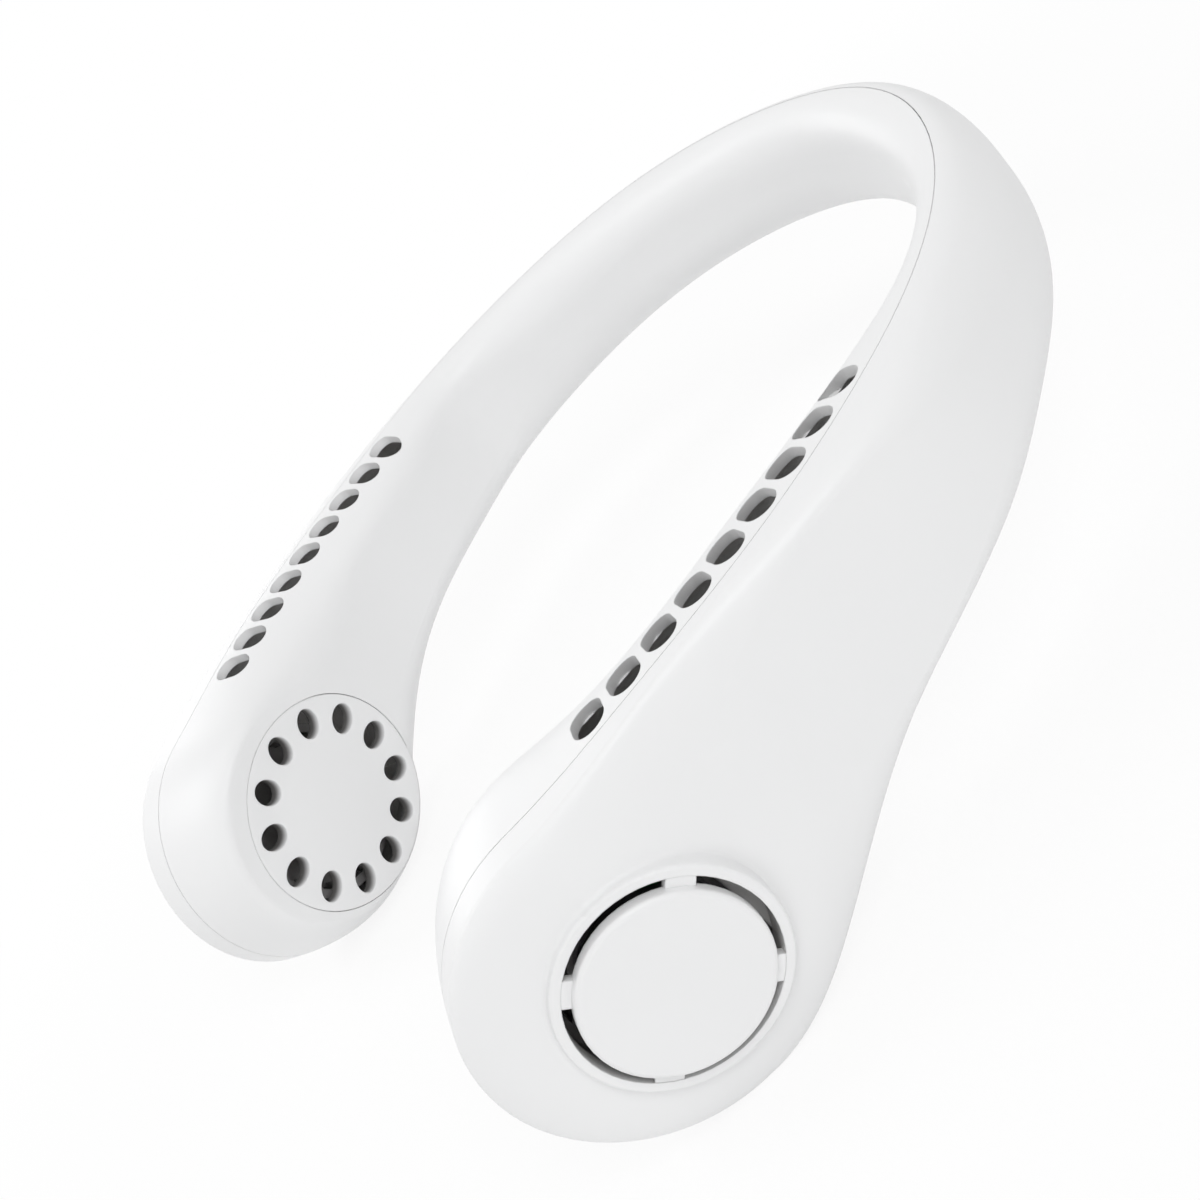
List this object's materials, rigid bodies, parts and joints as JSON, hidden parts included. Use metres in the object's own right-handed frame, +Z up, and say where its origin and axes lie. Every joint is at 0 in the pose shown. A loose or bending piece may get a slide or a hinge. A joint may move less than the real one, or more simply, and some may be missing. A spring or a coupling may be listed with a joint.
{
  "type": "electric neck fan",
  "caption": "Rigid U-shaped fan worn round the neck: a blower pod at the front of each arm sends air out of slanted slots on top.",
  "frame": {"origin": "under the middle of the housing's box, at the height of the lowest point of the pods", "axes": "+Z up as worn, towards the air slots; -Y towards the open front between the pods; +X towards the arm on the right seen from the front"},
  "size_m": [0.1928, 0.2048, 0.0617],
  "materials": {
    "white_plastic": "satin white moulded ABS",
    "impeller_plastic": "dark grey moulded nylon",
    "black_plastic": "black moulded plastic",
    "steel": "plain ground steel",
    "copper": "enamelled copper wire",
    "bronze": "sintered bronze",
    "ferrite": "bonded ferrite",
    "board_green": "solder-masked glass fibre board",
    "cell_foil": "satin laminate foil",
    "clear_plastic": "clear acrylic",
    "lead_red": "soft insulation",
    "lead_black": "soft insulation"
  },
  "bodies": {
    "housing": {"board_chips": "black_plastic", "board_screws": "steel", "inner_shell": "white_plastic", "left_battery": "cell_foil", "left_battery_lead": "lead_red", "left_bearings": "bronze", "left_coils": "copper", "left_grille": "white_plastic", "left_motor_base": "black_plastic", "left_motor_lead": "lead_black", "left_motor_screws": "steel", "left_stator_board": "board_green", "left_stator_core": "steel", "light_pipe": "clear_plastic", "main_board": "board_green", "outer_shell": "white_plastic", "right_battery": "cell_foil", "right_battery_lead": "lead_red", "right_bearings": "bronze", "right_coils": "copper", "right_grille": "white_plastic", "right_motor_base": "black_plastic", "right_motor_lead": "lead_black", "right_motor_screws": "steel", "right_stator_board": "board_green", "right_stator_core": "steel", "tact_switch": "black_plastic", "usb_socket": "steel"},
    "right_rotor": {"right_impeller": "impeller_plastic", "right_rotor_cup": "steel", "right_magnet_ring": "ferrite", "right_shaft": "steel"},
    "left_rotor": {"left_impeller": "impeller_plastic", "left_rotor_cup": "steel", "left_magnet_ring": "ferrite", "left_shaft": "steel"},
    "button": {"power_button": "white_plastic"}
  },
  "joints": [
    {"name": "right_fan_spin", "type": "hinge", "parent": "housing", "child": "right_rotor", "pos_m": [0.07306, -0.0712, 0.0272], "axis": [0.915, -0.4035, 0], "continuous": true},
    {"name": "left_fan_spin", "type": "hinge", "parent": "housing", "child": "left_rotor", "pos_m": [-0.07306, -0.0712, 0.0272], "axis": [-0.915, -0.4035, 0], "continuous": true},
    {"name": "power_press", "type": "slide", "parent": "housing", "child": "button", "axis": [0.9052, -0.4251, 0], "range_m": [0, 0.0004], "stiffness_N_per_m": 2500, "springref_m": -0.0002}
  ]
}
